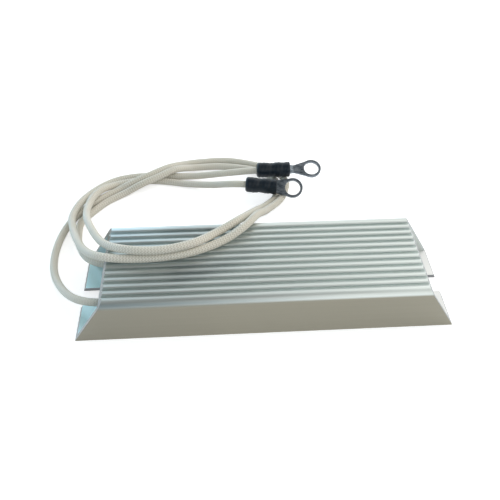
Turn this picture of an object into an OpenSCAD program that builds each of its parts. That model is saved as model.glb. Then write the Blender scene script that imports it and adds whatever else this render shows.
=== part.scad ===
// Aluminium housed power resistor: a finned hollow extrusion with oblique ends,
// two wound elements potted in cement, and two sleeved leads with ring terminals.
// Millimetres. Origin at the bottom centre of the housing, X along its length, Z up.

/* [Housing] */
// Length of the base, end to end
housing_length = 215; // [150:1:300]
// Width of the housing
housing_width = 60; // [58:0.5:80]
// Height of the housing to the fin tops
housing_height = 30; // [26:0.5:40]
// Distance that the top is set in at each end by the oblique cut
end_setback = 21; // [0:0.5:30]
// Thickness of the base plate
base_thickness = 2.4; // [1.6:0.1:4]
// Thickness of the side walls
wall_thickness = 2.7; // [1.6:0.1:3]
// Thickness of the top plate, from its underside to the fin tops
top_thickness = 4; // [3:0.1:6]
// Radius of the two long top edges
edge_radius = 3.8; // [1:0.1:5]

/* [Fins] */
// Number of grooves in the top
groove_count = 11; // [1:1:11]
// Distance from one groove to the next
groove_pitch = 4.7; // [3.6:0.1:5]
// Width of a groove at the top of its walls, below the bevels
groove_width = 1.9; // [1:0.1:2.2]
// Width of a groove at its floor
groove_floor_width = 1.5; // [0.5:0.1:1.8]
// Depth of a groove
groove_depth = 1.8; // [0.8:0.1:2.2]
// Width of the bevel on each lip of a groove
lip_bevel_width = 0.7; // [0.1:0.05:0.7]
// Depth of the bevel on each lip of a groove
lip_bevel_depth = 0.35; // [0.1:0.05:0.6]

/* [Mounting slots] */
// Width of the open-ended slot in each end of the base
slot_width = 13; // [5:0.5:20]
// Length of a slot from the end of the base
slot_length = 18; // [12:0.5:24]

/* [Potting] */
// Distance from each end of the base to the face of the cement
cement_recess = 25.5; // [24:0.5:27]
// Gap between the cement and the housing
cement_clearance = 0.1; // [0.05:0.05:0.3]
// Depth of the socket that holds the root of a lead
lead_socket_depth = 4; // [3:0.5:5]
// Thickness of the cement between the mica sheets and the housing's sides
cement_side_cover = 1; // [0.5:0.1:3]
// Gap round each piece that lies in the cement
inner_clearance = 0.1; // [0.05:0.05:0.3]

/* [Elements] */
// Length of a ceramic former
former_length = 120; // [60:1:124]
// Thickness of a ceramic former
former_thickness = 4; // [2:0.1:5]
// Width of the bevel along a former's edges
former_bevel = 1; // [0.5:0.1:1.2]
// Diameter of the resistance wire
wire_diameter = 0.9; // [0.5:0.1:1.2]
// Turns of wire on each former
winding_turns = 24; // [4:1:26]
// Bare length at each end of a former, before the first turn
winding_margin = 4; // [3:0.5:10]
// Gap between the windings of the two elements
element_gap = 5.8; // [4:0.2:10]
// Thickness of the insulating mica sheets
mica_thickness = 0.8; // [0.3:0.1:1.5]
// Length of each mica sheet past the ends of the formers
mica_overhang = 2.5; // [1:0.5:3]
// Thickness of the strip that links the two elements
link_thickness = 1; // [0.5:0.1:2]
// Height of the link strip
link_height = 5; // [2:0.5:5]

/* [Lead joints] */
// Outer diameter of a crimp ferrule
ferrule_diameter = 6; // [5:0.1:7]
// Outer diameter of the ferrule's narrow end, on the wire
ferrule_neck_diameter = 3; // [2.2:0.1:4]
// Length of the ferrule's wide end, on the conductor
ferrule_barrel_length = 8; // [6:0.5:9]
// Length of the ferrule's narrow end
ferrule_neck_length = 3.5; // [2:0.5:4]

/* [Leads] */
// Outer diameter of a sleeved lead
lead_diameter = 4.6; // [3:0.1:4.6]
// Diameter of the stranded conductor
conductor_diameter = 3.9; // [2:0.1:3.9]
// Height of the lead exits above the base
lead_height = 14; // [12:0.5:14]

/* [Terminals] */
// Outer diameter of the terminal's ring
ring_diameter = 13.6; // [12:0.1:20]
// Diameter of the hole for the stud
stud_hole_diameter = 10.5; // [6:0.1:10.5]
// Thickness of the terminal's palm
palm_thickness = 1.6; // [1:0.1:2.5]
// Width of the neck between barrel and ring
neck_width = 5.4; // [3:0.1:6]
// Outer diameter of the crimp barrel
barrel_diameter = 6.4; // [5.5:0.1:6.4]
// Length of the crimp barrel
barrel_length = 11; // [8:0.5:12]
// Length over which the barrel is pressed flat
flattening_length = 3; // [2:0.5:5]
// Distance from the barrel's mouth to the centre of the ring
ring_reach = 27; // [24:0.5:32]
// Gap between barrel and conductor, and between boot and barrel
terminal_clearance = 0.1; // [0.05:0.05:0.3]

/* [Boots] */
// Outer diameter of the insulating boot
boot_diameter = 10.4; // [8.5:0.1:10.4]
// Length of the boot on the front lead
front_boot_length = 23.5; // [20:0.5:25]
// Length of the boot on the rear lead
rear_boot_length = 21.5; // [20:0.5:25]
// Length of the narrow collar that grips the lead
boot_collar_length = 5; // [3:0.5:5]
// Radius of the boot's outer edge at the lead
boot_shoulder_radius = 2; // [0.5:0.1:2.2]
// Radius of the boot's outer edge at the terminal
boot_edge_radius = 0.8; // [0.2:0.1:1.5]

/* [Hidden] */

$fn = 48;
half_length = housing_length / 2;
half_width = housing_width / 2;
cavity_top = housing_height - top_thickness;
cavity_half_width = half_width - wall_thickness;
cut_margin = 1;

cement_half_length = half_length - cement_recess;
root_x = -cement_half_length + lead_socket_depth;
ferrule_x = root_x + 2;
ferrule_step_x = ferrule_x + ferrule_barrel_length;
ferrule_end_x = ferrule_step_x + ferrule_neck_length;

former_x = ferrule_end_x + 4;
former_end_x = former_x + former_length;
mica_half_width = cavity_half_width - cement_clearance - cement_side_cover - inner_clearance;
element_offset = (mica_half_width + element_gap / 2) / 2;
winding_half_width = (mica_half_width - element_gap / 2) / 2 - inner_clearance - wire_diameter / 2;
former_width = 2 * winding_half_width - wire_diameter - 2 * inner_clearance;
winding_half_height = former_thickness / 2 + wire_diameter / 2 + inner_clearance;
winding_top = winding_half_height + wire_diameter / 2;
winding_start_x = former_x + winding_margin;
winding_pitch = (former_length - 2 * winding_margin) / winding_turns;
wire_corner = former_bevel + 0.2;
link_x = former_end_x + 5;

mica_z = winding_top + inner_clearance;
mica_x = former_x - mica_overhang;
mica_end_x = link_x + link_thickness + inner_clearance;
divider_thickness = 2 * mica_thickness;

bore_diameter = conductor_diameter + 2 * terminal_clearance;
boot_bore_diameter = barrel_diameter + 2 * terminal_clearance;
collar_bore_diameter = lead_diameter + 3 * terminal_clearance;

lead_sides = 10;
wire_sides = 6;

// Where each terminal lies: the centre of the barrel's mouth, the turn about its own axis,
// the dip and the swing of that axis from +X, and how far the boot starts before the mouth.
front_terminal_at = [15, 104, 10];
front_terminal_turn = 18;
front_terminal_dip = 0;
front_terminal_swing = 0;
front_boot_lap = 12;
rear_terminal_at = [-0.2, 87, 10.75];
rear_terminal_turn = 30;
rear_terminal_dip = 2.5;
rear_terminal_swing = -6.5;
rear_boot_lap = 5.5;

// Centre line of each lead, from its root in the cement to the mouth of its terminal.
front_lead_route = [
    [-78, -element_offset, lead_height], [-92, -element_offset, lead_height],
    [-106, -10, 12.2], [-118, 3, 7.2], [-127, 22, 2.8],
    [-128.5, 42, 2.4], [-124.5, 62, 2.4], [-117, 76, 2.4], [-106.2, 87.5, 2.4], [-95, 96.2, 2.6],
    [-83, 101.2, 5.8], [-73, 105.3, 7.6], [-60, 114, 7.3], [-48.6, 122.5, 3.6], [-33.8, 126.2, 2.4],
    [-17, 126.5, 2.4], [2, 121, 2.4], [16, 113.5, 2.4], [23.7, 101, 2.4], [20.8, 86, 2.4],
    [6, 52, 18.7], [-1.9, 34.1, 30.6], [-10, 21, 33.9], [-22, 12, 32.5], [-42, 3, 32.5],
    [-72, 0, 32.5], [-90, 3, 32.3], [-101, 14, 26.4], [-110, 31, 19], [-117, 49, 12],
    [-120.5, 65, 8], [-117, 79.4, 7.2], [-108.8, 97.4, 3.4], [-97.9, 107.1, 2.4], [-82, 111.2, 2.4],
    [-62, 110.2, 2.4], [-40, 108.6, 3.4], [-20, 105.3, 7.4], [2, 104, 10], [15, 104, 10]
];
rear_lead_route = [
    [-78, element_offset, lead_height], [-92, element_offset, lead_height],
    [-103, 20.5, 12.6], [-111, 34, 8.8], [-115.5, 50, 4.6],
    [-116, 65, 2.5], [-110.6, 73.6, 2.4], [-101, 84.9, 2.4], [-89.4, 93.1, 2.8], [-77.5, 97.7, 6.4],
    [-66, 103.8, 7.5], [-55, 110.9, 7.6], [-42.5, 118.3, 3.3], [-21, 119.9, 2.4], [2, 114.5, 2.4], [13, 107.5, 2.4],
    [17.5, 97.5, 2.4], [15, 84.1, 2.4], [6.5, 67, 9.4], [0, 52, 19.2],
    [-7.3, 36.2, 29], [-15, 25.5, 33.6], [-26, 16.8, 33.8], [-40, 5.5, 37], [-58, 1, 37.4], [-75, 3.4, 36.6],
    [-88, 12, 32.6], [-104.5, 44, 20], [-109.5, 60, 13.5], [-111, 74, 9],
    [-109.5, 83.5, 7.8], [-104.8, 93, 6.4], [-97.3, 101.5, 3], [-84, 105.8, 2.4], [-66, 105.2, 2.4], [-46, 100.6, 2.8],
    [-29, 95, 5.8], [-18, 90.4, 9.6], [-9.1336, 88.0179, 11.1426], [-0.2, 87, 10.75]
];

// ---- Swept tubes ----

function unit(v) = v / norm(v);

// Direction of travel at point i of a route.
function heading(route, i) =
    let (last = len(route) - 1)
    i == 0 ? unit(route[1] - route[0])
    : i == last ? unit(route[last] - route[last - 1])
    : unit(unit(route[i] - route[i - 1]) + unit(route[i + 1] - route[i]));

// The part of v that is square to the direction t.
function square_to(v, t) = unit(v - (v * t) * t);

// A sideways vector at each point of the route, carried along without twist.
function sideways(route, start) = [
    for (i = 0, s = square_to(start, heading(route, 0));
         i < len(route);
         i = i + 1, s = i < len(route) ? square_to(s, heading(route, i)) : s) s
];

// One solid tube of equal sides along a route.
module tube(route, radius, sides, start = [0, 0, 1]) {
    side = sideways(route, start);
    points = [
        for (i = [0:len(route) - 1])
            let (t = heading(route, i), u = side[i], v = cross(t, u))
            for (j = [0:sides - 1])
                let (a = 360 * (j + 0.5) / sides)
                route[i] + radius * (cos(a) * u + sin(a) * v)
    ];
    first_cap = [for (j = [0:sides - 1]) j];
    last_cap = [for (j = [sides - 1:-1:0]) (len(route) - 1) * sides + j];
    walls = [
        for (i = [0:len(route) - 2], j = [0:sides - 1])
            let (a = i * sides + j, b = i * sides + (j + 1) % sides)
            each [[a, b + sides, b], [a, a + sides, b + sides]]
    ];
    polyhedron(points = points, faces = concat([first_cap, last_cap], walls), convexity = 10);
}

// A cylinder along X from x0 to x1.
module rod_x(x0, x1, diameter) {
    translate([x0, 0, 0]) rotate([0, 90, 0]) cylinder(h = x1 - x0, d = diameter);
}

// ---- Housing ----

module groove_profile() {
    throat = groove_width / 2;
    floor_half = groove_floor_width / 2;
    mouth = throat + lip_bevel_width;
    polygon([
        [-floor_half, -groove_depth], [floor_half, -groove_depth],
        [throat, -lip_bevel_depth], [mouth, 0], [mouth, cut_margin],
        [-mouth, cut_margin], [-mouth, 0], [-throat, -lip_bevel_depth]
    ]);
}

// Outer outline of the extrusion, Y to the right and Z up.
module outer_profile() {
    translate([-half_width, 0])
        square([housing_width, housing_height - edge_radius]);
    translate([-half_width + edge_radius, 0])
        square([housing_width - 2 * edge_radius, housing_height]);
    for (side = [-1, 1])
        translate([side * (half_width - edge_radius), housing_height - edge_radius])
            circle(r = edge_radius);
}

module extrusion_profile() {
    difference() {
        outer_profile();
        translate([-cavity_half_width, base_thickness])
            square([2 * cavity_half_width, cavity_top - base_thickness]);
        for (i = [0:groove_count - 1])
            translate([(i - (groove_count - 1) / 2) * groove_pitch, housing_height])
                groove_profile();
    }
}

// Side view of the housing: a trapezium longer at the base than at the top.
module end_cuts() {
    over = cut_margin * end_setback / housing_height;
    rotate([90, 0, 0])
        linear_extrude(height = housing_width + 2 * cut_margin, center = true)
            polygon([
                [-half_length - over, -cut_margin],
                [half_length + over, -cut_margin],
                [half_length - end_setback - over, housing_height + cut_margin],
                [-half_length + end_setback + over, housing_height + cut_margin]
            ]);
}

module mounting_slot() {
    centre_x = half_length - slot_length + slot_width / 2;
    translate([0, 0, -cut_margin]) {
        translate([centre_x, 0, 0])
            cylinder(h = base_thickness + 2 * cut_margin, d = slot_width);
        translate([centre_x, -slot_width / 2, 0])
            cube([slot_length, slot_width, base_thickness + 2 * cut_margin]);
    }
}

module housing() {
    color("silver")
        difference() {
            intersection() {
                rotate([90, 0, 90])
                    linear_extrude(height = housing_length, center = true)
                        extrusion_profile();
                end_cuts();
            }
            mounting_slot();
            mirror([1, 0, 0]) mounting_slot();
        }
}

// ---- Potting ----

// The space that one lead, its joint and its conductor take in the cement.
module lead_joint_space() {
    gap = 2 * inner_clearance;
    rod_x(-cement_half_length - cut_margin, root_x, lead_diameter + 4 * inner_clearance);
    rod_x(root_x - inner_clearance, ferrule_x, conductor_diameter + gap);
    rod_x(ferrule_x - inner_clearance, mica_x, ferrule_diameter + gap);
}

module cement_fill() {
    pack_half_width = mica_half_width + inner_clearance;
    pack_half_height = mica_z + mica_thickness + inner_clearance;
    color("gainsboro")
        difference() {
            translate([
                -cement_half_length,
                -cavity_half_width + cement_clearance,
                base_thickness + cement_clearance
            ])
                cube([
                    2 * cement_half_length,
                    2 * (cavity_half_width - cement_clearance),
                    cavity_top - base_thickness - 2 * cement_clearance
                ]);
            translate([
                mica_x - inner_clearance, -pack_half_width, lead_height - pack_half_height
            ])
                cube([
                    mica_end_x - mica_x + 2 * inner_clearance,
                    2 * pack_half_width,
                    2 * pack_half_height
                ]);
            for (side = [-1, 1])
                translate([0, side * element_offset, lead_height])
                    lead_joint_space();
        }
}

// ---- Elements ----

module at_element(side) {
    translate([0, side * element_offset, lead_height]) children();
}

module former_section() {
    w = former_width / 2;
    h = former_thickness / 2;
    b = former_bevel;
    polygon([
        [w - b, h], [w, h - b], [w, -h + b], [w - b, -h],
        [-w + b, -h], [-w, -h + b], [-w, h - b], [-w + b, h]
    ]);
}

module former(side) {
    color("ivory")
        at_element(side)
            translate([former_x, 0, 0]) rotate([90, 0, 90])
                linear_extrude(height = former_length) former_section();
}

// Four corners of one turn, each cut by two points, going round the former.
turn_outline = let (w = winding_half_width, h = winding_half_height, c = wire_corner) [
    [w - c, h], [w, h - c], [w, -h + c], [w - c, -h],
    [-w + c, -h], [-w, -h + c], [-w, h - c], [-w + c, h]
];

function winding_route() = concat(
    [
        [ferrule_step_x + 0.4, 0, 0],
        [former_x - 1.8, 0, 0],
        [former_x - 0.9, 0, winding_half_height],
        [winding_start_x - 1.5, 0, winding_half_height]
    ],
    [
        for (turn = [0:winding_turns - 1], k = [0:len(turn_outline) - 1])
            let (x = winding_start_x + winding_pitch * (turn + k / len(turn_outline)))
            [x, turn_outline[k][0], turn_outline[k][1]]
    ],
    [
        [former_end_x - winding_margin + 1.5, 0, winding_half_height],
        [former_end_x + 0.9, 0, winding_half_height],
        [former_end_x + 1.8, 0, 0],
        [link_x - inner_clearance / 2, 0, 0]
    ]
);

module winding(side) {
    color("peru")
        at_element(side)
            tube(winding_route(), wire_diameter / 2, wire_sides);
}

module link_strip() {
    reach = element_offset + 2;
    color("darkgoldenrod")
        translate([link_x, -reach, lead_height - link_height / 2])
            cube([link_thickness, 2 * reach, link_height]);
}

module mica_sheet(z) {
    translate([mica_x, -mica_half_width, z])
        cube([mica_end_x - mica_x, 2 * mica_half_width, mica_thickness]);
}

module mica_top() {
    color("burlywood") mica_sheet(lead_height + mica_z);
}

module mica_bottom() {
    color("burlywood") mica_sheet(lead_height - mica_z - mica_thickness);
}

module mica_divider() {
    color("tan")
        translate([mica_x, -divider_thickness / 2, lead_height - winding_top])
            cube([link_x - inner_clearance - mica_x, divider_thickness, 2 * winding_top]);
}

// ---- Lead joints ----

module crimp_ferrule(side) {
    color("silver")
        at_element(side)
            difference() {
                union() {
                    rod_x(ferrule_x, ferrule_step_x, ferrule_diameter);
                    rod_x(ferrule_x, ferrule_end_x, ferrule_neck_diameter);
                }
                rod_x(ferrule_x - cut_margin, ferrule_step_x - 0.5, bore_diameter);
                rod_x(ferrule_x, ferrule_end_x + cut_margin, wire_diameter + 2 * inner_clearance);
            }
}

module conductor_root(side) {
    color("goldenrod")
        at_element(side)
            rod_x(root_x, ferrule_step_x - 1, conductor_diameter);
}

// ---- Leads ----

module lead(route) {
    color("ivory") tube(route, lead_diameter / 2, lead_sides);
}

// ---- Terminals ----

// Puts a piece in the frame of the front (-1) or rear (1) terminal.
module at_terminal(side) {
    turn = side < 0 ? front_terminal_turn : rear_terminal_turn;
    dip = side < 0 ? front_terminal_dip : rear_terminal_dip;
    swing = side < 0 ? front_terminal_swing : rear_terminal_swing;
    translate(side < 0 ? front_terminal_at : rear_terminal_at)
        rotate([turn, dip, swing])
            children();
}

module palm_outline() {
    circle_start = ring_reach - ring_diameter / 2;
    difference() {
        union() {
            translate([ring_reach, 0]) circle(d = ring_diameter);
            translate([barrel_length + flattening_length, -neck_width / 2])
                square([circle_start - barrel_length, neck_width]);
        }
        translate([ring_reach, 0]) circle(d = stud_hole_diameter);
    }
}

module ring_terminal(side) {
    color("lightsteelblue")
        at_terminal(side) {
            difference() {
                rod_x(0, barrel_length, barrel_diameter);
                rod_x(-cut_margin, barrel_length - 0.5, bore_diameter);
            }
            hull() {
                rod_x(barrel_length - 0.4, barrel_length, barrel_diameter);
                translate([barrel_length + flattening_length - 0.1, -neck_width / 2, -palm_thickness / 2])
                    cube([0.2, neck_width, palm_thickness]);
            }
            translate([0, 0, -palm_thickness / 2])
                linear_extrude(height = palm_thickness) palm_outline();
        }
}

module conductor_tip(side) {
    color("goldenrod")
        at_terminal(side)
            rod_x(0, barrel_length - 1, conductor_diameter);
}

// Half section of a boot: distance along it upwards, radius to the right.
module boot_section(length) {
    outer = boot_diameter / 2;
    shoulder = boot_shoulder_radius;
    edge = boot_edge_radius;
    difference() {
        union() {
            square([outer - shoulder, length - edge]);
            translate([0, shoulder]) square([outer, length - shoulder - edge]);
            translate([0, length / 2]) square([outer - edge, length / 2]);
            translate([outer - shoulder, shoulder]) circle(r = shoulder);
            translate([outer - edge, length - edge]) circle(r = edge);
        }
        translate([-outer, -cut_margin])
            square([outer + collar_bore_diameter / 2, length + 2 * cut_margin]);
        translate([0, boot_collar_length]) square([boot_bore_diameter / 2, length]);
    }
}

module terminal_boot(side) {
    lap = side < 0 ? front_boot_lap : rear_boot_lap;
    length = side < 0 ? front_boot_length : rear_boot_length;
    color("#20242a")
        at_terminal(side)
            translate([-lap, 0, 0]) rotate([0, 90, 0])
                rotate_extrude() boot_section(length);
}

housing();
cement_fill();
former(-1);  // former_front
former(1);  // former_rear
winding(-1);  // winding_front
winding(1);  // winding_rear
link_strip();
mica_top();
mica_bottom();
mica_divider();
crimp_ferrule(-1);  // crimp_ferrule_front
crimp_ferrule(1);  // crimp_ferrule_rear
conductor_root(-1);  // conductor_root_front
conductor_root(1);  // conductor_root_rear
lead(front_lead_route);  // lead_front
lead(rear_lead_route);  // lead_rear
conductor_tip(-1);  // conductor_tip_front
conductor_tip(1);  // conductor_tip_rear
ring_terminal(-1);  // ring_terminal_front
ring_terminal(1);  // ring_terminal_rear
terminal_boot(-1);  // terminal_boot_front
terminal_boot(1);  // terminal_boot_rear
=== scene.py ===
"""Looks of the aluminium housed power resistor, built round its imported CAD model. Metres, +Z up."""
import math

import bpy
import numpy as np
from mathutils import Euler, Matrix, Vector


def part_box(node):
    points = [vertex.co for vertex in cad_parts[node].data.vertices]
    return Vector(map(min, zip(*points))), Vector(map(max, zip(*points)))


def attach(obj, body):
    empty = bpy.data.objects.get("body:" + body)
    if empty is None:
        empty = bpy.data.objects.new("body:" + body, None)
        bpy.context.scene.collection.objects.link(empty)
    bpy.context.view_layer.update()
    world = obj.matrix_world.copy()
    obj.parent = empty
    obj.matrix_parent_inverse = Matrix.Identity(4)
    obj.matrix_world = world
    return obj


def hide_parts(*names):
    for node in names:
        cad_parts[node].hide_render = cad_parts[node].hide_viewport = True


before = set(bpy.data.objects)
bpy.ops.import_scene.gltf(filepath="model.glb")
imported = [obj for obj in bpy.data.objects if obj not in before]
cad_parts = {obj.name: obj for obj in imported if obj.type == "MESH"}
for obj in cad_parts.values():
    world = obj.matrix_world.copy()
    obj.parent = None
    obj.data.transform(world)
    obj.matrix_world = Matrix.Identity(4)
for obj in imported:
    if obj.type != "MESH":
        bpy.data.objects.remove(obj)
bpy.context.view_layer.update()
MM = 0.001

# ---- Sizes shared with the CAD source ----

HOUSING_END, HOUSING_SIDE, HOUSING_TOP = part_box("housing")[1]
END_SETBACK = 21 * MM
BASE_THICKNESS = 2.4 * MM
LEAD_DIAMETER = 4.6 * MM
BOOT_RADIUS = 5.2 * MM
BOOT_SHOULDER_RADIUS = 2.0 * MM
BOOT_EDGE_RADIUS = 0.8 * MM

# Each terminal in millimetres and degrees: the middle of its barrel's mouth, the turn about its
# own axis, that axis's dip and swing, and the boot's length and its lap over the lead.
TERMINALS = {
    "front": {
        "mouth": (15, 104, 10), "turn": 18, "dip": 0, "swing": 0,
        "boot_length": 23.5, "boot_lap": 12,
    },
    "rear": {
        "mouth": (-0.2, 87, 10.75), "turn": 30, "dip": 2.5, "swing": -6.5,
        "boot_length": 21.5, "boot_lap": 5.5,
    },
}

# Centre line of each lead, in millimetres, as the CAD source has it.
LEAD_ROUTES = {
    "front": [
        [-78, -14.5, 14], [-92, -14.5, 14],
        [-106, -10, 12.2], [-118, 3, 7.2], [-127, 22, 2.8], [-128.5, 42, 2.4], [-124.5, 62, 2.4],
        [-117, 76, 2.4], [-106.2, 87.5, 2.4], [-95, 96.2, 2.6],
        [-83, 101.2, 5.8], [-73, 105.3, 7.6], [-60, 114, 7.3], [-48.6, 122.5, 3.6],
        [-33.8, 126.2, 2.4], [-17, 126.5, 2.4], [2, 121, 2.4], [16, 113.5, 2.4],
        [23.7, 101, 2.4], [20.8, 86, 2.4], [6, 52, 18.7], [-1.9, 34.1, 30.6],
        [-10, 21, 33.9], [-22, 12, 32.5], [-42, 3, 32.5], [-72, 0, 32.5],
        [-90, 3, 32.3], [-101, 14, 26.4], [-110, 31, 19], [-117, 49, 12],
        [-120.5, 65, 8], [-117, 79.4, 7.2], [-108.8, 97.4, 3.4], [-97.9, 107.1, 2.4],
        [-82, 111.2, 2.4], [-62, 110.2, 2.4], [-40, 108.6, 3.4],
        [-20, 105.3, 7.4], [2, 104, 10], [15, 104, 10],
    ],
    "rear": [
        [-78, 14.5, 14], [-92, 14.5, 14],
        [-103, 20.5, 12.6], [-111, 34, 8.8], [-115.5, 50, 4.6], [-116, 65, 2.5],
        [-110.6, 73.6, 2.4], [-101, 84.9, 2.4], [-89.4, 93.1, 2.8],
        [-77.5, 97.7, 6.4], [-66, 103.8, 7.5], [-55, 110.9, 7.6], [-42.5, 118.3, 3.3],
        [-21, 119.9, 2.4], [2, 114.5, 2.4], [13, 107.5, 2.4],
        [17.5, 97.5, 2.4], [15, 84.1, 2.4], [6.5, 67, 9.4], [0, 52, 19.2],
        [-7.3, 36.2, 29], [-15, 25.5, 33.6], [-26, 16.8, 33.8], [-40, 5.5, 37],
        [-58, 1, 37.4], [-75, 3.4, 36.6], [-88, 12, 32.6], [-104.5, 44, 20],
        [-109.5, 60, 13.5], [-111, 74, 9], [-109.5, 83.5, 7.8], [-104.8, 93, 6.4],
        [-97.3, 101.5, 3], [-84, 105.8, 2.4], [-66, 105.2, 2.4], [-46, 100.6, 2.8],
        [-29, 95, 5.8], [-18, 90.4, 9.6], [-9.1336, 88.0179, 11.1426], [-0.2, 87, 10.75],
    ],
}


# ---- Node helpers ----

class Graph:
    """A short way to write a shader: most calls add a node and return its output."""

    def __init__(self, owner, output="ShaderNodeOutputMaterial"):
        owner.use_nodes = True
        self.owner = owner
        self.tree = owner.node_tree
        self.tree.nodes.clear()
        self.output = self.tree.nodes.new(output)

    def put(self, socket, value):
        """Links an output to a socket, or sets the socket to a number, vector or colour."""
        if isinstance(value, bpy.types.NodeSocket):
            self.tree.links.new(value, socket)
        elif socket.type == "RGBA":
            socket.default_value = (*value, 1)
        else:
            socket.default_value = value

    def node(self, kind, inputs=None, output=0, **settings):
        made = self.tree.nodes.new(kind)
        for key, value in settings.items():
            setattr(made, key, value)
        for key, value in (inputs or {}).items():
            self.put(made.inputs[key], value)
        return made.outputs[output]

    def show(self, shader):
        self.tree.links.new(shader, self.output.inputs[0])

    def finish(self, **inputs):
        """Puts the inputs on one Principled shader and returns the material."""
        named = {key.replace("_", " "): value for key, value in inputs.items()}
        self.show(self.node("ShaderNodeBsdfPrincipled", named))
        return self.owner

    def math(self, operation, a, b=0.0):
        return self.node("ShaderNodeMath", {0: a, 1: b}, operation=operation)

    def plus(self, a, b):
        return self.math("ADD", a, b)

    def minus(self, a, b):
        return self.math("SUBTRACT", a, b)

    def times(self, product, *factors):
        for factor in factors:
            product = self.math("MULTIPLY", product, factor)
        return product

    def larger(self, a, b):
        return self.math("MAXIMUM", a, b)

    def absolute(self, a):
        return self.math("ABSOLUTE", a)

    def sine(self, a):
        return self.math("SINE", a)

    def ramp(self, value, low, high, to_low, to_high):
        """Goes evenly from `to_low` at `low` to `to_high` at `high`, and no further."""
        limits = {"From Min": low, "From Max": high, "To Min": to_low, "To Max": to_high}
        return self.node("ShaderNodeMapRange", {"Value": value, **limits})

    def span(self, place, start, stop, to_start, to_stop, origin=0.0):
        """A ramp between two places, given in millimetres from an origin in metres."""
        return self.ramp(place, origin + start * MM, origin + stop * MM, to_start, to_stop)

    def spread(self, noise, to_low, to_high):
        """A ramp over the range in which most of a noise lies."""
        return self.ramp(noise, 0.3, 0.7, to_low, to_high)

    def blend(self, factor, a, b):
        """Mixes two plain numbers."""
        return self.node("ShaderNodeMix", {"Factor": factor, "A": a, "B": b})

    def mix(self, factor, a, b):
        """Mixes two colours, which are the node's sockets 6 and 7, and its output 2."""
        return self.node("ShaderNodeMix", {0: factor, 6: a, 7: b}, output=2, data_type="RGBA")

    def parts(self, kind="Object"):
        """The x, y and z of the point's place, or of its normal, UVs or direction."""
        made = self.tree.nodes.new("ShaderNodeSeparateXYZ")
        self.put(made.inputs[0], self.node("ShaderNodeTexCoord", output=kind))
        return made.outputs

    def noise(self, scale, detail):
        """A noise over the object. Three scales, for x, y and z, draw it out along an axis."""
        vector = self.node("ShaderNodeTexCoord", output="Object")
        if isinstance(scale, tuple):
            vector = self.node("ShaderNodeMapping", {"Vector": vector, "Scale": scale})
            scale = 1.0
        inputs = {"Vector": vector, "Scale": scale, "Detail": detail}
        return self.node("ShaderNodeTexNoise", inputs)

    def bump(self, height, distance, strength):
        inputs = {"Height": height, "Distance": distance, "Strength": strength}
        return self.node("ShaderNodeBump", inputs)


def material_graph(name):
    return Graph(bpy.data.materials.new(name))


# ---- The housing's material ----

def soft_patch(g, x, y, centre, slant, half_length, half_width):
    """1 in the middle of a slanted ellipse on the top of the housing, falling softly to 0."""
    along, across = math.cos(math.radians(slant)), math.sin(math.radians(slant))
    dx, dy = g.minus(x, centre[0] * MM), g.minus(y, centre[1] * MM)
    u = g.plus(g.times(dx, along), g.times(dy, across))
    v = g.minus(g.times(dy, along), g.times(dx, across))
    u = g.math("DIVIDE", u, half_length * MM)
    v = g.math("DIVIDE", v, half_width * MM)
    return g.ramp(g.plus(g.times(u, u), g.times(v, v)), 0.1, 1.3, 1.0, 0.0)


def ribbed_top(g, x, y, z, tone):
    """Satin grey with two patches of painted shade and dark reflection from the leads, a painted blue
    sky reflection at the back left, and painted light in the grooves.
    """
    satin_dark, satin_pale = (0.515, 0.553, 0.535), (0.63, 0.68, 0.658)
    lead_shade_grey, back_sky_blue, groove_painted_light = (0.20, 0.23, 0.24), (0.66, 0.78, 0.83), (0.88, 0.93, 0.91)
    lead_shade_strength = 0.42
    colour = g.mix(tone, satin_dark, satin_pale)
    # Painted shade and dark reflection of the leads: two soft darker patches, broken up by noise.
    middle = soft_patch(g, x, y, centre=(-38, -6), slant=18, half_length=40, half_width=10)
    rear = soft_patch(g, x, y, centre=(-40, 25), slant=4, half_length=26, half_width=6)
    shade_breakup = g.ramp(g.noise((45, 90, 90), 3.0), 0.3, 0.65, 0.2, 1.0)
    lead_shade_patch = g.times(g.larger(middle, rear), shade_breakup, lead_shade_strength)
    colour = g.mix(lead_shade_patch, colour, lead_shade_grey)
    # Painted reflection of a blue sky: the top turns bluer at the back left.
    back_left = g.times(g.span(x, -95, -30, 0.6, 0.0), g.span(y, 5, 20, 0.0, 1.0))
    colour = g.mix(back_left, colour, back_sky_blue)
    # Painted light: the groove floors are made paler, which lifts the shade in them.
    groove = g.span(z, -1.4, -0.5, 1.0, 0.0, origin=HOUSING_TOP)
    groove = g.times(groove, g.span(x, -50, 20, 0.1, 0.5))
    return g.mix(groove, colour, groove_painted_light)


def side_wall(g, x, tone):
    """Darker and warmer than the top, a painted reflection of a dim, warm surface in front, and
    painted shade towards the leads.
    """
    warm_dark, warm_pale, shaded = (0.277, 0.262, 0.209), (0.307, 0.290, 0.234), (0.12, 0.12, 0.11)
    # Painted reflection: the wall's greys are darker and warmer than the top's.
    colour = g.mix(tone, warm_dark, warm_pale)
    # Painted shade, darker towards the leads' end.
    return g.mix(g.span(x, -90, -20, 0.22, 0.0), colour, shaded)


def base_face(g, x):
    """The base's upper face: a painted blue sky reflection at the leads' end, grey at the plain end,
    and painted shade under the top's edge.
    """
    base_sky_blue, grey, base_shade_dark = (0.72, 0.97, 1.0), (0.60, 0.61, 0.605), (0.08, 0.09, 0.10)
    # Painted reflection of a blue sky, fading towards the plain end.
    colour = g.mix(g.span(x, -60, 60, 0.0, 1.0), base_sky_blue, grey)
    # Painted shade under the top's edge.
    top_edge_shade = g.span(g.absolute(x), 0.5, 6.5, 0.75, 0.0, origin=HOUSING_END - END_SETBACK)
    return g.mix(top_edge_shade, colour, base_shade_dark)


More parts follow.
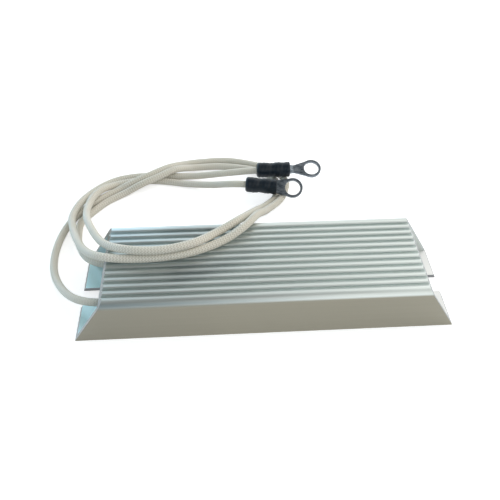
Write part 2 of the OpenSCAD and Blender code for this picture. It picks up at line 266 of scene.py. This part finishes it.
def extruded_aluminium():
    """Satin aluminium: each kind of face is told by its place and normal, and has its colour, some of
    it painted shade, light and reflection.
    """
    rounded_edge_shade, slot_edge_grey = (0.19, 0.225, 0.23), (0.22, 0.23, 0.24)
    sawn_dark, sawn_pale = (0.20, 0.22, 0.23), (0.34, 0.36, 0.37)
    g = material_graph("extruded_aluminium")
    x, y, z = g.parts()
    normal_x, normal_y, normal_z = g.parts("Normal")
    off_middle, sideways = g.absolute(y), g.absolute(normal_y)
    lines = g.noise((5, 700, 700), 3.0)
    cloud = g.noise((9, 30, 30), 3.0)
    tone = g.plus(g.spread(lines, 0.35, 0.65), g.spread(cloud, -0.25, 0.25))

    on_side = g.span(off_middle, -0.5, -0.1, 0.0, 1.0, origin=HOUSING_SIDE)
    colour = g.mix(on_side, ribbed_top(g, x, y, z, tone), side_wall(g, x, tone))
    # Painted shade on the rounded long edges, strongest at the left, which dulls their highlight.
    rounded = g.times(
        g.ramp(sideways, 0.35, 0.6, 0.0, 1.0),
        g.span(off_middle, -4, -3.2, 0.0, 1.0, origin=HOUSING_SIDE),
        g.span(z, -4, -2.5, 0.0, 1.0, origin=HOUSING_TOP),
        g.span(x, -80, 40, 0.62, 0.0),
    )
    colour = g.mix(rounded, colour, rounded_edge_shade)
    low = g.span(z, 0.3, 0.9, 1.0, 0.0, origin=BASE_THICKNESS)
    on_base = g.times(low, g.ramp(normal_z, 0.5, 0.8, 0.0, 1.0))
    colour = g.mix(on_base, colour, base_face(g, x))
    near_slot = g.span(off_middle, 20, 24, 1.0, 0.0)
    slot_edge = g.times(low, g.ramp(sideways, 0.4, 0.6, 0.0, 1.0), near_slot)
    colour = g.mix(slot_edge, colour, slot_edge_grey)
    sawn = g.ramp(g.absolute(normal_x), 0.4, 0.6, 0.0, 1.0)
    colour = g.mix(sawn, colour, g.mix(g.noise((120, 120, 2400), 2.0), sawn_dark, sawn_pale))
    scratches = g.noise((40, 1600, 1600), 2.0)
    return g.finish(
        Base_Color=colour,
        Metallic=g.ramp(on_base, 0.0, 1.0, 0.85, 0.8),
        Roughness=g.spread(cloud, 0.34, 0.44),
        Normal=g.bump(g.plus(lines, scratches), 0.02 * MM, 0.35),
    )


# ---- The other materials ----

def glass_braid():
    """Braided glass-fibre sleeve: yarns cross in two directions along the UVs of the tube, with
    painted shade between them.
    """
    yarns_round, pitch, rib_share, fibre_share = 9, 1.7, 0.28, 0.3
    soiled_cream, clean_cream = (0.81, 0.78, 0.68), (0.89, 0.87, 0.81)
    turn_shade_cream, yarn_hollow_shade = (0.56, 0.54, 0.46), (0.47, 0.43, 0.34)
    g = material_graph("glass_braid")
    x, y, _ = g.parts()
    along, around, _ = g.parts("UV")
    turns = g.times(around, 2 * math.pi * yarns_round)
    travel = g.times(along, 2 * math.pi / pitch)
    crossing = g.larger(g.sine(g.plus(turns, travel)), g.sine(g.minus(turns, travel)))
    weave = g.plus(g.times(crossing, 1 - rib_share), g.times(g.sine(travel), rib_share))
    fibres = g.times(g.noise(2600.0, 2.0), fibre_share)
    shade = g.plus(g.ramp(weave, -0.3, 1.0, 0.0, 1 - fibre_share), fibres)
    cream = g.mix(g.spread(g.noise(32.0, 2.0), 0.0, 1.0), soiled_cream, clean_cream)
    # Painted shade on the leads where they turn beside the boots.
    turn_shade = g.times(g.span(x, -12, 4, 0.0, 0.6), g.span(y, 88, 100, 1.0, 0.0))
    cream = g.mix(turn_shade, cream, turn_shade_cream)
    # The dark colour between the yarns is painted shade in the weave's hollows.
    return g.finish(
        Base_Color=g.mix(shade, yarn_hollow_shade, cream),
        Roughness=0.6,
        Sheen_Weight=0.2,
        Normal=g.bump(shade, 0.17 * MM, 0.8),
    )


def shrink_black():
    """Heat-shrunk sleeve: blue-black, half gloss, finely creased round the barrel."""
    deep, dusty = (0.002, 0.006, 0.010), (0.010, 0.020, 0.032)
    g = material_graph("shrink_black")
    creases = g.noise((600, 160, 160), 4.0)
    dust = g.noise(900.0, 3.0)
    return g.finish(
        Base_Color=g.mix(dust, deep, dusty),
        Specular_IOR_Level=0.3,
        Roughness=g.spread(creases, 0.30, 0.46),
        Normal=g.bump(g.plus(creases, dust), 0.12 * MM, 0.6),
    )


def tin_plate():
    """Dull tin plating with smears and dark specks."""
    dull, bright, dark = (0.10, 0.13, 0.16), (0.27, 0.30, 0.33), (0.07, 0.07, 0.075)
    g = material_graph("tin_plate")
    smears = g.noise((260, 700, 700), 4.0)
    specks = g.ramp(g.noise(1500.0, 2.0), 0.55, 0.7, 0.0, 0.6)
    colour = g.mix(g.spread(smears, 0.0, 1.0), dull, bright)
    return g.finish(
        Base_Color=g.mix(specks, colour, dark),
        Metallic=1.0,
        Roughness=g.spread(smears, 0.24, 0.40),
        Normal=g.bump(smears, 0.05 * MM, 0.5),
    )


def cast_cement():
    """Grey cement, coarse and matt, with broad paler patches."""
    dark, pale = (0.17, 0.17, 0.16), (0.30, 0.30, 0.28)
    g = material_graph("cast_cement")
    return g.finish(
        Base_Color=g.mix(g.noise(60.0, 3.0), dark, pale),
        Roughness=0.9,
        Normal=g.bump(g.noise(900.0, 5.0), 0.3 * MM, 0.7),
    )


def plain_inner(name, dark, pale, roughness, metallic=0.0, scale=300.0):
    """A hidden piece's finish: two tones under a fine noise."""
    g = material_graph(name)
    grain = g.noise(scale, 3.0)
    return g.finish(
        Base_Color=g.mix(grain, dark, pale),
        Roughness=roughness,
        Metallic=metallic,
        Normal=g.bump(grain, 0.05 * MM, 0.4),
    )


ALUMINIUM = extruded_aluminium()
BRAID = glass_braid()
BLACK = shrink_black()
TIN = tin_plate()
CEMENT = cast_cement()
STEATITE = plain_inner("steatite", (0.66, 0.63, 0.56), (0.78, 0.75, 0.68), 0.6)
ALLOY = plain_inner("resistance_alloy", (0.20, 0.16, 0.13), (0.34, 0.29, 0.25), 0.45, 1.0)
MICA = plain_inner("mica", (0.34, 0.26, 0.16), (0.52, 0.43, 0.30), 0.4)
COPPER = plain_inner("copper", (0.45, 0.20, 0.10), (0.66, 0.34, 0.20), 0.35, 1.0, 900.0)


def dress(node, material):
    """Puts one material on a CAD node."""
    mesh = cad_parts[node].data
    mesh.materials.clear()
    mesh.materials.append(material)


# ---- Mesh helpers ----

def tube_faces(rings, sides):
    """The four-sided faces between each ring of vertices and the next."""
    faces = []
    for i in range(rings - 1):
        near, far = i * sides, (i + 1) * sides
        for j in range(sides):
            k = (j + 1) % sides
            faces.append((near + j, near + k, far + k, far + j))
    return faces


def end_faces(rings, sides):
    """One face over the first ring and one over the last."""
    last = (rings - 1) * sides
    return [tuple(range(sides - 1, -1, -1)), tuple(range(last, last + sides))]


def mesh_object(name, vertices, faces, material, uvs=None, smooth=True):
    mesh = bpy.data.meshes.new(name)
    mesh.from_pydata([tuple(v) for v in vertices], [], faces)
    mesh.polygons.foreach_set("use_smooth", [smooth] * len(faces))
    if uvs is not None:
        layer = mesh.uv_layers.new(name="UVMap")
        layer.data.foreach_set("uv", [c for face in uvs for uv in face for c in uv])
    mesh.materials.append(material)
    mesh.update()
    made = bpy.data.objects.new(name, mesh)
    bpy.context.scene.collection.objects.link(made)
    return made


# ---- Leads ----

def smooth_route(points, step):
    """Points about `step` apart on a smooth curve through the route, and the curve's length."""
    samples = 24
    ends = np.vstack([2 * points[0] - points[1], points, 2 * points[-1] - points[-2]])
    fine = []
    for i in range(len(points) - 1):  # each stretch by centripetal Catmull-Rom
        p0, p1, p2, p3 = ends[i : i + 4]
        t0 = 0.0
        t1 = t0 + math.sqrt(np.linalg.norm(p1 - p0))
        t2 = t1 + math.sqrt(np.linalg.norm(p2 - p1))
        t3 = t2 + math.sqrt(np.linalg.norm(p3 - p2))
        for t in np.linspace(t1, t2, samples, endpoint=False):
            a1 = (t1 - t) / (t1 - t0) * p0 + (t - t0) / (t1 - t0) * p1
            a2 = (t2 - t) / (t2 - t1) * p1 + (t - t1) / (t2 - t1) * p2
            a3 = (t3 - t) / (t3 - t2) * p2 + (t - t2) / (t3 - t2) * p3
            b1 = (t2 - t) / (t2 - t0) * a1 + (t - t0) / (t2 - t0) * a2
            b2 = (t3 - t) / (t3 - t1) * a2 + (t - t1) / (t3 - t1) * a3
            fine.append((t2 - t) / (t2 - t1) * b1 + (t - t1) / (t2 - t1) * b2)
    fine.append(points[-1])
    fine = np.array(fine)
    run = np.concatenate([[0], np.cumsum(np.linalg.norm(np.diff(fine, axis=0), axis=1))])
    even = np.linspace(0, run[-1], round(run[-1] / step) + 1)
    return np.column_stack([np.interp(even, run, fine[:, k]) for k in range(3)]), run[-1]


def rest_on_surfaces(path, radius):
    """Lifts a path that dips below the table or into the fin tops."""
    clearance, side_margin = 0.05 * MM, 4 * MM
    half_length = HOUSING_END - END_SETBACK
    half_width = HOUSING_SIDE - side_margin
    lowest = np.full(len(path), radius + clearance)
    over = (np.abs(path[:, 0]) < half_length) & (np.abs(path[:, 1]) < half_width)
    above = path[:, 2] > HOUSING_TOP
    lowest[over & above] = HOUSING_TOP + radius + clearance
    path[:, 2] = np.maximum(path[:, 2], lowest)
    return path


def carried_frames(path):
    """Two directions square to a path at each of its points, carried along without twist."""
    tangents = np.gradient(path, axis=0)
    tangents /= np.linalg.norm(tangents, axis=1)[:, None]
    side = np.cross(tangents[0], [0, 0, 1])
    frames = []
    for tangent in tangents:
        side = side - side.dot(tangent) * tangent
        side /= np.linalg.norm(side)
        frames.append((side, np.cross(side, tangent)))
    return frames


def swept_lead(name, route, material):
    """A round tube along the route, with UVs in millimetres along it and turns around it."""
    sides, ring_step, radius = 24, 0.7 * MM, LEAD_DIAMETER / 2
    path, length = smooth_route(np.array(route, float) * MM, ring_step)
    path = rest_on_surfaces(path, radius)
    angles = np.arange(sides) * 2 * math.pi / sides
    vertices = []
    for point, (side, up) in zip(path, carried_frames(path)):
        for a in angles:
            vertices.append(point + radius * (math.cos(a) * side + math.sin(a) * up))
    uvs = []
    uv_step = length / MM / (len(path) - 1)
    for i in range(len(path) - 1):
        near, far = i * uv_step, (i + 1) * uv_step
        for j in range(sides):
            left, right = j / sides, (j + 1) / sides
            uvs.append([(near, left), (near, right), (far, right), (far, left)])
    uvs += 2 * [[(0, 0)] * sides]
    faces = tube_faces(len(path), sides) + end_faces(len(path), sides)
    return mesh_object(name, vertices, faces, material, uvs), path


def add_lead(side):
    """Makes one lead with its boot and its terminal's flare."""
    lead, path = swept_lead(f"braided_lead_{side}", LEAD_ROUTES[side], BRAID)
    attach(lead, "root")
    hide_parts(f"lead_{side}")
    boot = shrink_boot(side)
    flare = palm_flare(side)


# ---- Terminals and boots ----

def at_terminal(side, vertices):
    """Moves vertices from a terminal's own frame, which starts at the barrel's mouth."""
    terminal = TERMINALS[side]
    turned = (
        Matrix.Rotation(math.radians(terminal["swing"]), 3, "Z")
        @ Matrix.Rotation(math.radians(terminal["dip"]), 3, "Y")
        @ Matrix.Rotation(math.radians(terminal["turn"]), 3, "X")
    )
    return [turned @ Vector(v) + Vector(terminal["mouth"]) * MM for v in vertices]


def straight_edge(distance, angle):
    """How far out a straight edge lies, seen at an angle from where it is nearest."""
    smallest_cosine = 0.05
    return distance / max(smallest_cosine, math.cos(angle))


def palm_flare(side):
    """The flare of a terminal's palm, from neck to ring. Its inner side lies hidden in the palm."""
    ring_reach, palm_radius, hidden_radius = 27, 6.75, 6.0
    half_thickness, bevel = 0.75, 0.15
    neck_reach, half_neck = {"front": (14.0, 2.3), "rear": (12.0, 4.3)}[side]
    start = math.atan2(half_neck, -neck_reach)
    tangent = start - math.acos(palm_radius / math.hypot(neck_reach, half_neck))
    angles = np.linspace(tangent, 2 * math.pi - tangent, num=61)
    vertices = []
    for a in angles:
        outer = min(
            straight_edge(palm_radius, a - tangent),
            straight_edge(palm_radius, a + tangent),
            straight_edge(neck_reach, a - math.pi),
        )
        upper = [
            (hidden_radius, half_thickness),
            (outer - bevel, half_thickness),
            (outer, half_thickness - bevel),
        ]
        corners = upper + [(r, -z) for r, z in reversed(upper)]
        for r, z in corners:
            point = (ring_reach + r * math.cos(a), r * math.sin(a), z)
            vertices.append([c * MM for c in point])
    faces = tube_faces(len(angles), len(corners)) + end_faces(len(angles), len(corners))
    placed = at_terminal(side, vertices)
    flare = mesh_object(f"palm_flare_{side}", placed, faces, TIN, smooth=False)
    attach(flare, "root")
    return flare


def quarter_round(radius, count):
    """Points of a rounded corner: how far each lies back from the end and in from the side."""
    angles = np.linspace(0, math.pi / 2, num=count)
    return [(radius * (1 - math.sin(a)), radius * (1 - math.cos(a))) for a in angles]


def boot_profile(length):
    """Distance along a boot and its outer radius there, before the waists and creases."""
    shoulder = quarter_round(BOOT_SHOULDER_RADIUS, count=7)
    straight = np.linspace(BOOT_SHOULDER_RADIUS, length - BOOT_EDGE_RADIUS, num=44)[1:-1]
    edge = quarter_round(BOOT_EDGE_RADIUS, count=6)
    profile = [(back, BOOT_RADIUS - inward) for back, inward in reversed(shoulder)]
    profile += [(x, BOOT_RADIUS) for x in straight]
    profile += [(length - back, BOOT_RADIUS - inward) for back, inward in edge]
    return profile


def shrink_boot(side):
    """One boot as shrunk on: a waist behind the barrel, a slighter one near its end, and creases."""
    sides = 64
    lead_bore, lead_bore_start = 2.4 * MM, 0.4 * MM
    barrel_bore, barrel_bore_depth = 3.35 * MM, 5 * MM
    waists = [  # depth, half width, and share of the boot's length at which it lies
        (0.42 * MM, 2.6 * MM, 0.46),
        (0.22 * MM, 1.6 * MM, 0.80),
    ]
    crease_depth, creases_round = 0.10 * MM, 3
    twist, waves = 900, 1500  # radians of the creases' pattern per metre
    phase = {"front": 0.4, "rear": 2.1}[side]
    length, lap = TERMINALS[side]["boot_length"] * MM, TERMINALS[side]["boot_lap"] * MM
    rings = [(lead_bore_start, lead_bore, False)]
    rings += [(x, r, True) for x, r in boot_profile(length)]
    rings += [(length, barrel_bore, False), (length - barrel_bore_depth, barrel_bore, False)]
    vertices = []
    for x, r, outer in rings:
        waist = 0.0
        for depth, half_width, share in waists:
            waist += depth * math.exp(-(((x - share * length) / half_width) ** 2))
        for j in range(sides):
            a = 2 * math.pi * j / sides
            wave = math.sin(creases_round * a + x * twist + phase) * math.sin(x * waves + phase)
            radius = r - waist + crease_depth * wave - crease_depth if outer else r
            vertices.append((x - lap, radius * math.cos(a), radius * math.sin(a)))
    # The vertices of a ring go round the other way than the leads', so the faces do too.
    faces = [(a, d, c, b) for a, b, c, d in tube_faces(len(rings), sides)]
    boot = mesh_object(f"shrink_boot_{side}", at_terminal(side, vertices), faces, BLACK)
    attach(boot, "root")
    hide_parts(f"terminal_boot_{side}")
    return boot


# ---- Stage ----

def add_camera():
    """The photograph's viewpoint, in millimetres and degrees, with a small shift upwards."""
    place = Vector((-20.4, -190.83, 229.0)) * MM
    turn = Euler([math.radians(angle) for angle in (35.5384, -0.4112, -3.3373)])
    data = bpy.data.cameras.new("camera")
    data.sensor_width = 36
    data.lens = 35.53
    data.shift_y = 0.16
    data.clip_start = 0.01
    camera = bpy.data.objects.new("camera", data)
    camera.matrix_world = Matrix.LocRotScale(place, turn, None)
    bpy.context.scene.collection.objects.link(camera)
    bpy.context.scene.camera = camera


def add_floor():
    """A plain pale floor, brightened where it is seen, that keeps the object's shadow."""
    floor_size, glow_strength = 12, 0.6
    g = material_graph("floor_white")
    rays = g.tree.nodes.new("ShaderNodeLightPath").outputs
    seen = g.larger(rays["Is Camera Ray"], rays["Is Glossy Ray"])
    seen = g.larger(seen, rays["Is Transmission Ray"])
    diffuse = g.node("ShaderNodeBsdfDiffuse", {"Color": (0.8, 0.8, 0.8)})
    strength = g.times(seen, glow_strength)
    glow = g.node("ShaderNodeEmission", {"Color": (1, 1, 1), "Strength": strength})
    g.show(g.node("ShaderNodeAddShader", {0: diffuse, 1: glow}))
    bpy.ops.mesh.primitive_plane_add(size=floor_size, location=(0, 0, 0))
    floor = bpy.context.object
    floor.name = "floor"
    floor.data.materials.append(g.owner)


def room_level(g, x, y, z):
    """How bright the room is in a direction: x to the right, y to the back, z up."""
    lean, lean_height, overhead_level = 2.2, 0.68, 0.25
    high_front = g.ramp(x, -0.25, 0.15, 0.33, 1.3)
    leaning_right = g.minus(x, g.times(g.minus(z, lean_height), lean))
    high_back = g.ramp(leaning_right, -0.45, 0.04, 0.50, 1.48)
    high = g.blend(g.ramp(y, -0.1, 0.35, 0.0, 1.0), high_front, high_back)
    overhead = g.times(g.ramp(z, 0.84, 0.96, 0.0, 1.0), g.ramp(x, 0.20, 0.36, 1.0, 0.0))
    high = g.times(high, g.ramp(overhead, 0.0, 1.0, 1.0, overhead_level))
    low_front = g.ramp(x, -0.25, 0.2, 0.35, 1.15)
    low_back = g.ramp(x, -0.4, 0.4, 2.2, 1.15)
    low = g.blend(g.ramp(y, -0.75, -0.15, 0.0, 1.0), low_front, low_back)
    return g.blend(g.ramp(z, 0.35, 0.55, 0.0, 1.0), low, high)


def room_colour(g, x, z):
    """Near white, warmer on the left, and blue there lower down."""
    white, warm, blue = (1.0, 0.995, 0.97), (1.0, 0.97, 0.94), (0.66, 0.92, 1.1)
    left = g.ramp(x, -0.25, 0.1, 1.0, 0.0)
    low_left = g.times(g.ramp(z, 0.65, 0.73, 1.0, 0.0), left)
    return g.mix(low_left, g.mix(left, white, warm), blue)


def add_world():
    """A pale room that lights the object, and plain white where the camera sees it."""
    world = bpy.data.worlds.new("studio")
    bpy.context.scene.world = world
    g = Graph(world, "ShaderNodeOutputWorld")
    x, y, z = g.parts("Generated")
    light = {"Color": room_colour(g, x, z), "Strength": room_level(g, x, y, z)}
    lit = g.node("ShaderNodeBackground", light)
    white = g.node("ShaderNodeBackground", {"Color": (1, 1, 1)})
    seen = g.node("ShaderNodeLightPath", output="Is Camera Ray")
    g.show(g.node("ShaderNodeMixShader", {0: seen, 1: lit, 2: white}))


def add_soft_lamp():
    """A square soft lamp at the back right, turned towards the object."""
    place, target = Vector((0.95, 0.55, 0.95)), Vector((0, 0.03, 0))
    data = bpy.data.lights.new("soft_right", "AREA")
    data.size = 0.9
    data.energy = 2.0
    data.color = (1.0, 0.99, 0.97)
    lamp = bpy.data.objects.new("soft_right", data)
    lamp.location = place
    lamp.rotation_euler = (target - place).to_track_quat("-Z", "Y").to_euler()
    bpy.context.scene.collection.objects.link(lamp)


# ---- Build ----

dress("housing", ALUMINIUM)
dress("cement_fill", CEMENT)
dress("link_strip", COPPER)
for part in ("mica_top", "mica_bottom", "mica_divider"):
    dress(part, MICA)
for end in ("front", "rear"):
    dress(f"former_{end}", STEATITE)
    dress(f"winding_{end}", ALLOY)
    dress(f"crimp_ferrule_{end}", TIN)
    dress(f"conductor_root_{end}", COPPER)
    dress(f"conductor_tip_{end}", COPPER)
    dress(f"ring_terminal_{end}", TIN)

add_camera()
add_lead("front")
add_lead("rear")
add_floor()
add_world()
add_soft_lamp()

bpy.context.scene.view_settings.view_transform = "Standard"
